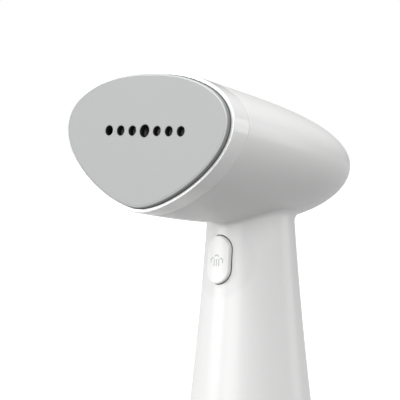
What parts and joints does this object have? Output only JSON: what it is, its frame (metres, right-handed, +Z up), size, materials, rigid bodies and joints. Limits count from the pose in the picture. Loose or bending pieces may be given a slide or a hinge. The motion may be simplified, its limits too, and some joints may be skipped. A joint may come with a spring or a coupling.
{
  "type": "garment steamer",
  "caption": "Handheld garment steamer: bullet head with a perforated steam plate, flared upright handle with a steam button, and a pull-off water tank as its foot.",
  "frame": {"origin": "centre of the foot pad's underside, on the handle's axis", "axes": "+Z up along the handle; the steam plate faces -Y; +X to the right seen from the plate's side"},
  "size_m": [0.1144, 0.1493, 0.2491],
  "materials": {
    "white_shell": "satin",
    "white_gloss": "gloss",
    "button_white": "satin",
    "plate_coating": "satin ceramic coating",
    "cast_aluminium": "as cast",
    "red_silicone": "matte",
    "element_steel": "dull",
    "screw_steel": "zinc plated",
    "brass": "machined",
    "thermostat_metal": "pressed",
    "sleeve_white": "woven glass sleeve",
    "black_plastic": "fine texture",
    "switch_red": "smooth",
    "clear_silicone": "translucent",
    "spring_steel": "bright wire",
    "lead_sleeve": "glass braid",
    "board_green": "solder resist",
    "capacitor_blue": "shrink sleeve",
    "triac_black": "moulded",
    "terminal_white": "nylon",
    "pump_plastic": "nylon",
    "coil_copper": "enamelled wire",
    "yoke_steel": "zinc plated",
    "plunger_steel": "ground",
    "black_rubber": "matte",
    "gland_grey": "satin",
    "tank_clear": "clear",
    "lid_white": "smooth",
    "flap_grey": "matte",
    "strainer_grey": "smooth",
    "foot_grey": "matte"
  },
  "bodies": {
    "steamer": {"main_housing": "white_shell", "front_bezel": "white_gloss", "steam_plate": "plate_coating", "plate_gasket": "red_silicone", "steam_chamber": "cast_aluminium", "heating_element": "element_steel", "chamber_gasket": "red_silicone", "chamber_cover": "cast_aluminium", "cover_screws": "screw_steel", "inlet_nozzle": "brass", "thermostat": "thermostat_metal", "thermal_fuse": "sleeve_white", "fuse_clip": "thermostat_metal", "chamber_carrier": "black_plastic", "plate_screws": "screw_steel", "carrier_screws": "screw_steel", "water_hose": "clear_silicone", "hose_clips": "spring_steel", "heater_leads": "lead_sleeve", "chassis": "black_plastic", "chassis_screws": "screw_steel", "microswitch": "black_plastic", "button_springs": "spring_steel", "control_board": "board_green", "board_screws": "screw_steel", "relay": "black_plastic", "capacitor": "capacitor_blue", "triac": "triac_black", "terminal_block": "terminal_white", "pump_body": "pump_plastic", "pump_coil": "coil_copper", "pump_yoke": "yoke_steel", "pump_mounts": "black_rubber", "pump_spring": "spring_steel", "check_valve": "black_plastic", "feed_tube": "clear_silicone", "dock_plate": "black_plastic", "dock_screws": "screw_steel", "dock_seal": "black_rubber", "port_seal": "black_rubber", "cord_gland": "gland_grey", "gland_nut": "black_plastic"},
    "button": {"steam_button": "button_white"},
    "switch_plunger": {"switch_plunger": "switch_red"},
    "pump_plunger": {"pump_plunger": "plunger_steel"},
    "tank": {"water_tank": "tank_clear", "tank_lid": "lid_white", "lid_seal": "black_rubber", "dip_tube": "clear_silicone", "strainer": "strainer_grey", "foot_pad": "foot_grey", "flap_pin": "screw_steel"},
    "flap": {"filler_flap": "flap_grey"}
  },
  "joints": [
    {"name": "button_press", "type": "slide", "parent": "steamer", "child": "button", "axis": [0, 1, 0], "range_m": [0, 0.0016], "stiffness_N_per_m": 1200, "springref_m": -0.001, "deforming": ["button_springs"]},
    {"name": "switch_press", "type": "slide", "parent": "steamer", "child": "switch_plunger", "axis": [0, 1, 0], "range_m": [0, 0.0016]},
    {"name": "pump_stroke", "type": "slide", "parent": "steamer", "child": "pump_plunger", "axis": [0, 0, 1], "range_m": [-0.0015, 0.0015], "stiffness_N_per_m": 900, "deforming": ["pump_spring"]},
    {"name": "tank_release", "type": "slide", "parent": "steamer", "child": "tank", "axis": [0, 0, -1], "range_m": [0, 0.06]},
    {"name": "flap_open", "type": "hinge", "parent": "tank", "child": "flap", "pos_m": [0, 0.0403, 0.02742], "axis": [-1, 0, 0], "range_deg": [0, 120]}
  ],
  "couplings": [
    {"joint": "switch_press", "follows": "button_press", "ratio": 1}
  ]
}
